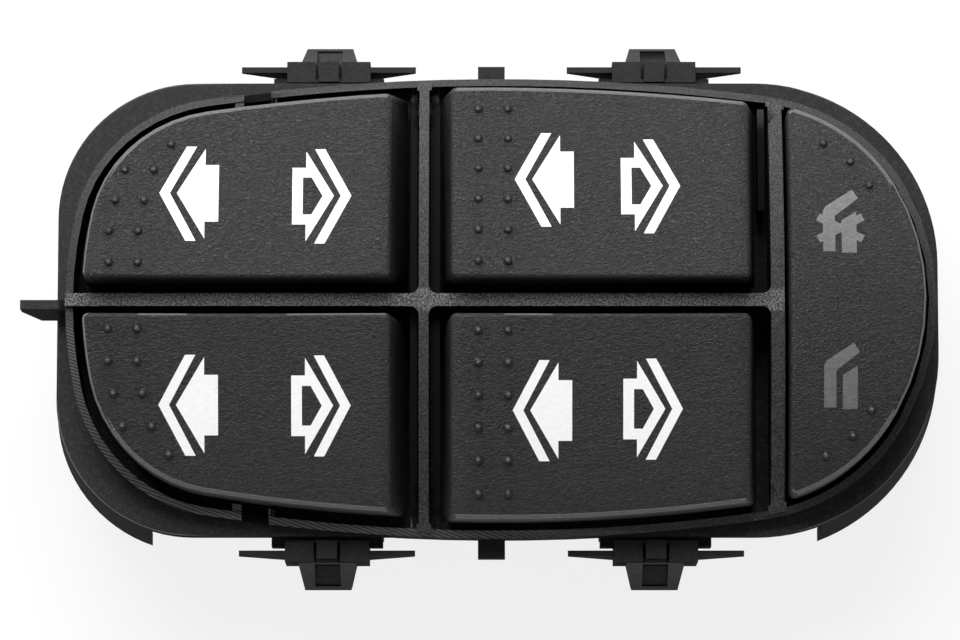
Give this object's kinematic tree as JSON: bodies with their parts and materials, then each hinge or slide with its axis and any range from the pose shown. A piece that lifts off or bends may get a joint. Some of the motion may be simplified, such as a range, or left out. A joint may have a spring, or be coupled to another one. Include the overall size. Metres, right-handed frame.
{
  "type": "power window switch",
  "caption": "Vehicle door switch module: tilting window rockers and a lock rocker in a moulded frame, over a snap-in base.",
  "frame": {"origin": "on the flat underside of the connector block, below the middle of the module", "axes": "+X along the module towards the lock rocker, +Y across it, +Z out through the rockers"},
  "size_m": [0.1231, 0.0738, 0.036],
  "materials": {
    "frame": "black moulded plastic, fine grain",
    "base": "black moulded plastic, smooth",
    "cap": "black moulded plastic, leather-like grain",
    "symbol": "white translucent plastic",
    "symbol_dim": "smoked translucent plastic",
    "board": "green laminate",
    "dome": "grey silicone rubber",
    "lamp": "lamp package",
    "terminal": "plated",
    "chip": "moulded package"
  },
  "bodies": {
    "root": {"bezel_frame": "frame", "base_housing": "base", "circuit_board": "board", "connector_header": "base", "terminals": "terminal", "control_chip": "chip", "regulator_chip": "chip", "domes_upper_left": "dome", "domes_upper_middle": "dome", "domes_lower_left": "dome", "domes_lower_middle": "dome", "domes_lock": "dome", "lamps_upper_left": "lamp", "lamps_upper_middle": "lamp", "lamps_lower_left": "lamp", "lamps_lower_middle": "lamp", "lamps_lock": "lamp"},
    "rocker_upper_left": {"cap_upper_left": "cap", "core_upper_left": "symbol"},
    "rocker_upper_middle": {"cap_upper_middle": "cap", "core_upper_middle": "symbol"},
    "rocker_lower_left": {"cap_lower_left": "cap", "core_lower_left": "symbol"},
    "rocker_lower_middle": {"cap_lower_middle": "cap", "core_lower_middle": "symbol"},
    "rocker_lock": {"cap_lock": "cap", "core_lock": "symbol_dim"}
  },
  "joints": [
    {"name": "tilt_upper_left", "type": "hinge", "parent": "root", "child": "rocker_upper_left", "pos_m": [-0.0343, 0.014, 0.0244], "axis": [0, 1, 0], "range_deg": [-5, 5], "stiffness_Nm_per_rad": 0.2, "deforming": ["domes_upper_left"]},
    {"name": "tilt_upper_middle", "type": "hinge", "parent": "root", "child": "rocker_upper_middle", "pos_m": [0.01345, 0.014, 0.0244], "axis": [0, 1, 0], "range_deg": [-5, 5], "stiffness_Nm_per_rad": 0.2, "deforming": ["domes_upper_middle"]},
    {"name": "tilt_lower_left", "type": "hinge", "parent": "root", "child": "rocker_lower_left", "pos_m": [-0.0343, -0.014, 0.0244], "axis": [0, 1, 0], "range_deg": [-5, 5], "stiffness_Nm_per_rad": 0.2, "deforming": ["domes_lower_left"]},
    {"name": "tilt_lower_middle", "type": "hinge", "parent": "root", "child": "rocker_lower_middle", "pos_m": [0.01345, -0.014, 0.0244], "axis": [0, 1, 0], "range_deg": [-5, 5], "stiffness_Nm_per_rad": 0.2, "deforming": ["domes_lower_middle"]},
    {"name": "tilt_lock", "type": "hinge", "parent": "root", "child": "rocker_lock", "pos_m": [0.04725, 0, 0.0244], "axis": [1, 0, 0], "range_deg": [-4, 4], "stiffness_Nm_per_rad": 0.2, "deforming": ["domes_lock"]}
  ]
}
